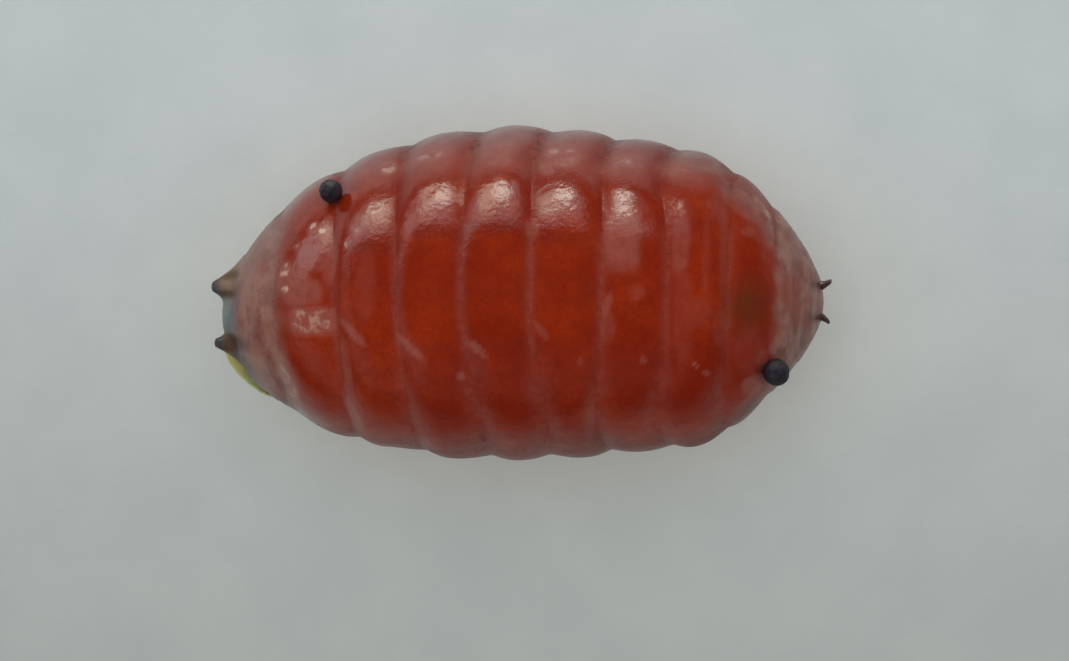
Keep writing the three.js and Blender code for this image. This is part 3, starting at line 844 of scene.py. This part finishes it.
# Pale groove lines: partly the paler skin in the groove, partly painted reflection.
broken = spread(tree, grain(tree, 0.03), 0, 1, 0.4, 1.0)
colour = laid_over(tree, colour, times(tree, masked(tree, "groove_line_and_sheen"), broken), 0.4, GROOVE_LINE_AND_SHEEN_PINK)
# Painted reflections: the pale mark lays a pink veil and, where it is strongest, a near-white glint.
painted_reflection_mottle = times(tree, painted_reflection_at, spread(tree, grain(tree, 0.045), 0, 1, 0.65, 1.0))
colour = blend(tree, painted_reflection_mottle, colour, REFLECTION_PINK)
colour = blend(tree, spread(tree, painted_reflection_mottle, 0.55, 0.95), colour, GLINT_PINK)
colour = laid_over(tree, colour, masked(tree, "scar"), 0.75, SCAR_BROWN)
print("nodes for the red body:", len(tree.nodes))

# %% Skin material: the dull ends, painted sheen and shade at the rim, painted highlights on wrinkles, and the horns
ASH_DARK, ASH_LIGHT, ASH_WARM = (0.23, 0.095, 0.08), (0.38, 0.20, 0.155), (0.34, 0.10, 0.05)
ALONG_STREAKS = (0.5, 1, 1)
TINTS = [  # mark, how thickly its tint is laid on, and the tint, from the first layer to the last
    # The shade tint is painted shade at the rim. The wrinkle tint is partly a painted highlight on the ridges.
    ("shade", 0.35, (0.085, 0.04, 0.042)), ("wrinkle_and_glint", 0.5, (0.40, 0.265, 0.225)),
    ("rosy", 0.6, (0.26, 0.045, 0.025)), ("platform", 0.85, (0.18, 0.155, 0.17)),
    ("saddle", 1.0, (0.17, 0.19, 0.2)), ("horn", 0.65, (0.28, 0.19, 0.11)),
    ("teal_edge", 0.8, (0.25, 0.35, 0.37)), ("horn_foot", 0.9, (0.075, 0.038, 0.022)),
    ("horn_tip", 0.85, (0.055, 0.060, 0.08)),
]
ashen = blend(tree, grain(tree, 0.10, 0.38, 0.62), ASH_DARK, ASH_LIGHT)
ashen = laid_over(tree, ashen, grain(tree, 0.07, 0.5, 0.65, ALONG_STREAKS), 0.5, ASH_WARM)
# The ash grey lies on the dull ends and on the sheen painted along the outline.
colour = laid_over(tree, colour, dull_and_sheen_at, 0.8, ashen)
for name, amount, tint in TINTS:
    colour = laid_over(tree, colour, masked(tree, name), amount, tint)
print("tints:", len(TINTS))

# %% Skin material: specks, dark blots and dark patches
SPECK_BLACK, BLOT_BLACK, DARK_PATCH_BLACK = (0.06, 0.02, 0.02), (0.035, 0.024, 0.026), (0.05, 0.022, 0.022)
specks = times(tree, grain(tree, 0.010, 0.60, 0.68), times(tree, hollow_shade, 0.6))
colour = blend(tree, specks, colour, SPECK_BLACK)
# Dark blots in the grooves near the edges.
blots = times(tree, grain(tree, 0.016, 0.50, 0.62), masked(tree, "groove_blots"))
colour = laid_over(tree, colour, blots, 0.75, BLOT_BLACK)
# Darker beside the front dropping and in patches near the head.
colour = laid_over(tree, colour, masked(tree, "dark_patch"), 0.75, DARK_PATCH_BLACK)
fill_in(tree, shader, {"Base Color": colour})
print("nodes with the specks:", len(tree.nodes))

# %% Skin material: gloss, depth and relief
BODY_ROUGH, ENDS_ROUGH, REFLECTION_ROUGHER, SATIN_SHARE = 0.34, 0.5, 0.15, 0.65
BUMP_HEIGHT = 9e-7  # in metres
CREASES_ALONG = (1.6, 0.7, 0.7)
satin_at = masked(tree, "satin")
rough = calc(tree, "ADD", spread(tree, satin_at, 0, 1, BODY_ROUGH, ENDS_ROUGH),
             times(tree, painted_reflection_at, REFLECTION_ROUGHER))
matt_at = times(tree, masked(tree, "matt"), spread(tree, grain(tree, 0.02), 0, 1, 0.75, 1.0))
uncoated = calc(tree, "MAXIMUM", times(tree, satin_at, SATIN_SHARE), matt_at)
fill_in(tree, shader, {
    "Roughness": rough, "Coat Weight": calc(tree, "SUBTRACT", 1.0, uncoated), "Coat Roughness": 0.065,
    "Coat IOR": 1.5, "Specular IOR Level": 0.08, "Subsurface Weight": 0.3,
    "Subsurface Radius": (1.0, 0.35, 0.2), "Subsurface Scale": 0.00006})
leathery = calc(tree, "ADD", times(tree, grain(tree, 0.05, 0.2, 0.8), 0.9),
                times(tree, grain(tree, 0.018, 0.2, 0.8), 0.65))
creased = times(tree, grain(tree, 0.03, 0.3, 0.7, CREASES_ALONG), 0.6)
height = calc(tree, "ADD", leathery, times(tree, creased, calc(tree, "ADD", dull_and_sheen_at, painted_reflection_at)))
tree.links.new(relief(tree, shader, height, BUMP_HEIGHT), shader.inputs["Coat Normal"])
print("skin nodes:", len(tree.nodes))

# %% [markdown]
# ### Head horns, droppings and leaf
# The head horns are plain brown horn. The droppings are nearly black with a weak sheen. The leaf is dry,
# yellow-green and thin enough to let some light through.

# %% Horn, dropping and leaf materials
HORN_DARK, HORN_LIGHT = (0.045, 0.022, 0.02), (0.075, 0.036, 0.03)
horn_look, tree, shader = new_material("brown horn")
fill_in(tree, shader, {"Base Color": blend(tree, grain(tree, 0.02), HORN_DARK, HORN_LIGHT), "Roughness": 0.35,
                       "Coat Weight": 0.5, "Coat Roughness": 0.2})

DROPPING_DARK, DROPPING_LIGHT = (0.008, 0.006, 0.012), (0.026, 0.022, 0.031)
dropping_look, tree, shader = new_material("dry dropping")
fill_in(tree, shader, {"Base Color": blend(tree, grain(tree, 0.02), DROPPING_DARK, DROPPING_LIGHT),
                       "Roughness": spread(tree, grain(tree, 0.015), 0, 1, 0.45, 0.7)})
relief(tree, shader, grain(tree, 0.006, 0.2, 0.8), 8e-7)

LEAF_DARK, LEAF_LIGHT = (0.50, 0.54, 0.16), (0.62, 0.64, 0.26)
LEAF_TAIL_TIP, LEAF_EDGE = (0.55, 0.42, 0.1), (0.62, 0.62, 0.38)
leaf_look, tree, shader = new_material("dry leaf shred")
colour = blend(tree, grain(tree, 0.03), LEAF_DARK, LEAF_LIGHT)
colour = blend(tree, spread(tree, masked(tree, "lengthwise"), 0.55, 0.0, 0, 0.7), colour, LEAF_TAIL_TIP)
colour = blend(tree, spread(tree, masked(tree, "crosswise"), 0.6, 1.0, 0, 0.6), colour, LEAF_EDGE)
fill_in(tree, shader, {"Base Color": colour, "Roughness": 0.6, "Subsurface Weight": 0.4,
                       "Subsurface Radius": (0.6, 0.8, 0.2), "Subsurface Scale": 0.00002})
relief(tree, shader, grain(tree, 0.008, 0.2, 0.8, (0.5, 1, 1)), 8e-7, 0.8)
print("materials:", [m.name for m in (skin_look, horn_look, dropping_look, leaf_look)])

# %% [markdown]
# ## Putting the finishes on
# The head horns belong to the skin, so they are joined to it and keep their own material in a second slot.

# %% Finishes, one skin piece, smooth shading
skin.data.materials.append(skin_look)
for horn in horn_pieces:
    horn.data.materials.append(horn_look)
select_only(skin)
for horn in horn_pieces:
    horn.select_set(True)
bpy.ops.object.join()
for dropping in droppings:
    dropping.data.materials.append(dropping_look)
shred.data.materials.append(leaf_look)
for piece in (skin, shred, *droppings):
    select_only(piece)
    bpy.ops.object.shade_smooth()
    piece.data.validate()
    print(piece.name, "has", sum(len(face.vertices) - 2 for face in piece.data.polygons), "triangles")
bpy.ops.object.select_all(action="DESELECT")

# %% Riding on the frame
for piece, node_name, slot_name in (
        (skin, "puparium", "skin"), (droppings[0], "frass_grain_rear", "frass"),
        (droppings[1], "frass_grain_front", "frass"), (shred, "leaf_shred", "leaf")):
    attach(piece, "root")
    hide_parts(node_name)

# %% [markdown]
# ## Table, light and camera
# The barrel lies on a pale matt table. A window of two panes and a low strip stands on its left side, and
# shows only in the gloss. A dim tent surrounds it with a dark opening overhead, which keeps the deep red of
# the back clear of reflections. Light and shade are painted on the table: it is a little warmer and lighter
# around the barrel, as from bounced light, lighter towards the window, and darker towards the front, far from
# it.

# %% Table, with painted light and shade
TABLE_DARK, TABLE_LIGHT, TABLE_PAINTED_WINDOW_LIGHT = (0.605, 0.665, 0.68), (0.645, 0.705, 0.715), (0.95, 0.92, 0.86)
NEAR_SCALE = (770, 1400, 0)  # an oval around the barrel that has a half size of 1
bpy.ops.mesh.primitive_grid_add(x_subdivisions=8, y_subdivisions=8, size=0.24, location=(0, 0, 0))
table = bpy.context.object
table.name = "table"
table_look, tree, shader = new_material("pale matt table")
place = node(tree, "ShaderNodeTexCoord").outputs["Object"]
across_table = node(tree, "ShaderNodeSeparateXYZ", {0: place}).outputs["Y"]
squashed = node(tree, "ShaderNodeVectorMath", {0: place, 1: NEAR_SCALE}, operation="MULTIPLY").outputs[0]
beside = node(tree, "ShaderNodeVectorMath", {0: squashed}, operation="LENGTH").outputs["Value"]
colour = blend(tree, grain(tree, 0.5, 0.3, 0.7), TABLE_DARK, TABLE_LIGHT)
# Painted light and shade: darker towards the front, a warm painted glow of bounced light around the barrel,
# and darker still far in front.
for value, start, full, tint in (
        (across_table, 0.0016, -0.0019, (0.755, 0.745, 0.71)), (beside, 1.45, 0.95, (1.06, 1.02, 0.985)),
        (across_table, -0.0016, -0.0050, (0.45, 0.43, 0.43))):
    painted_light_tint = blend(tree, 1.0, colour, tint, "MULTIPLY")
    colour = blend(tree, spread(tree, value, start, full), colour, painted_light_tint)
# Painted light: lighter and warmer towards the window.
colour = blend(tree, spread(tree, across_table, 0.0018, 0.0045), colour, TABLE_PAINTED_WINDOW_LIGHT)
fill_in(tree, shader, {"Base Color": colour, "Roughness": 0.75, "Specular IOR Level": 0.2})
relief(tree, shader, grain(tree, 0.05), 2e-6, 0.4)
table.data.materials.append(table_look)
print("table:", tuple(round(side, 2) for side in table.dimensions), "m")

# %% Softbox
def softbox(name, azimuth, elevation, distance, width, tall, brightness, colour):
    """A flat lamp at a distance in metres that faces the barrel. Brightness is that of its face."""
    a, e = math.radians(azimuth), math.radians(elevation)
    way = Vector((math.cos(e) * math.cos(a), math.cos(e) * math.sin(a), math.sin(e)))
    data = bpy.data.lights.new(name, "AREA")
    data.shape = "RECTANGLE"
    data.size, data.size_y = width, tall
    data.energy = brightness * math.pi * width * tall
    data.color = colour
    lamp = bpy.data.objects.new(name, data)
    lamp.location = way * distance
    lamp.rotation_euler = way.to_track_quat("Z", "Y").to_euler()
    bpy.context.scene.collection.objects.link(lamp)
    return lamp


PANES = [  # name, azimuth, elevation, distance, width, height, brightness and colour
    ("window, bright pane", 91, 21.7, 0.040, 0.0112, 0.0096, 7.8, (0.97, 1.0, 0.84)),
    ("window, dim pane", 108, 24.5, 0.040, 0.0115, 0.0135, 2.9, (1, 0.93, 0.68)),
    ("window, lowest strip", 90, 0.0, 0.040, 0.050, 0.0030, 0.9, (1, 0.93, 0.82)),
]
FILLS = [
    ("overhead key", 90, 68, 0.060, 0.090, 0.090, 1.7, (0.98, 1.0, 1.0)),
    ("front fill", -90, 40, 0.060, 0.070, 0.040, 0.92, (1, 0.98, 0.95)),
]
for pane in PANES:
    softbox(*pane).visible_diffuse = False
fills = [softbox(*fill) for fill in FILLS]
for fill in fills:
    fill.visible_glossy = False
print("the panes show only in reflections, and the key and the fill never do")

# %% [markdown]
# In the real light the table is lit from all sides and the barrel throws hardly any shadow on it. Light
# linking gives that: two lamps light only the table. One of them is blocked by nothing, so it fills the
# shadow, and the other leaves the soft dark edge where the barrel touches the table.

# %% Lamps for the table and lamps for the barrel
def only_lights(lamp, pieces, name):
    group = bpy.data.collections.new(name)
    for piece in pieces:
        group.objects.link(piece)
    lamp.light_linking.receiver_collection = group


TABLE_LAMPS = [
    ("table key", 90, 68, 0.060, 0.090, 0.090, 0.14, (0.98, 1.0, 1.0)),
    ("table wash", 90, 80, 0.060, 0.090, 0.090, 1.74, (1.0, 1.0, 0.985)),
]
for lamp in fills:
    only_lights(lamp, (skin, shred, *droppings), lamp.name + " lights the pieces")
table_lamps = [softbox(*lamp) for lamp in TABLE_LAMPS]
for lamp in table_lamps:
    lamp.visible_glossy = False
    only_lights(lamp, (table,), lamp.name + " lights the table")
table_alone = bpy.data.collections.new("only the table blocks")
table_alone.objects.link(table)
table_lamps[1].light_linking.blocker_collection = table_alone

# %% Tent
WINDOW_WALL, TAIL_WALL, BARE_WALL, DIMMEST = 1.25, 0.2, 0.06, 0.025
OPENING_AT, OPENING_HALF, OPENING_EDGE = (-0.15, 0.1), (1.25, 0.94), (0.85, 1.25)
TENT_COLOUR = (0.97, 0.99, 1.0, 1)
world = bpy.data.worlds.new("tent")
bpy.context.scene.world = world
world.use_nodes = True
tree = world.node_tree
tree.nodes.clear()
way = node(tree, "ShaderNodeTexCoord").outputs["Generated"]
parts = node(tree, "ShaderNodeSeparateXYZ", {"Vector": way})
wx, wy, wz = parts.outputs
safe_z = calc(tree, "MAXIMUM", wz, 0.02)
tilt_x, tilt_y = calc(tree, "DIVIDE", wx, safe_z), calc(tree, "DIVIDE", wy, safe_z)
left = times(tree, spread(tree, wy, 0.12, 0.5), spread(tree, wx, 0.5, 0.2))
tail_side_light = spread(tree, wx, -0.2, -0.6)
not_low = spread(tree, wz, 0.19, 0.32)
wall = calc(tree, "ADD", times(tree, left, WINDOW_WALL), times(tree, tail_side_light, TAIL_WALL))
wall = calc(tree, "ADD", wall, BARE_WALL)
opening = 0.0
for tilt, centre, half in zip((tilt_x, tilt_y), OPENING_AT, OPENING_HALF):
    share_out = calc(tree, "DIVIDE", calc(tree, "SUBTRACT", tilt, centre), half)
    squared = times(tree, share_out, share_out)
    opening = calc(tree, "ADD", opening, times(tree, squared, squared))
outside_opening = spread(tree, opening, *OPENING_EDGE)
light = times(tree, times(tree, wall, not_low), outside_opening)
light = calc(tree, "ADD", light, DIMMEST)
background = node(tree, "ShaderNodeBackground", {"Strength": light, "Color": TENT_COLOUR})
node(tree, "ShaderNodeOutputWorld", {"Surface": background.outputs[0]})
world.cycles_visibility.diffuse = False
bpy.context.scene.view_settings.view_transform = "Standard"
print("the tent shows only in reflections")

# %% Camera
SENSOR = 36  # in millimetres
camera_data = bpy.data.cameras.new("camera")
camera_data.sensor_width = SENSOR
camera_data.lens = SENSOR * AWAY / (PICTURE_WIDE * PIXEL)
camera_data.clip_start = 0.0005
camera_data.clip_end = 2
camera = bpy.data.objects.new("camera", camera_data)
bpy.context.scene.collection.objects.link(camera)
target = Vector(LOOK * MM)
way = Vector((math.sin(TILT), 0, math.cos(TILT)))
camera.location = target + way * AWAY * MM
camera.rotation_euler = (0, TILT, 0)
bpy.context.scene.camera = camera
print("lens:", round(camera_data.lens, 1), "mm")
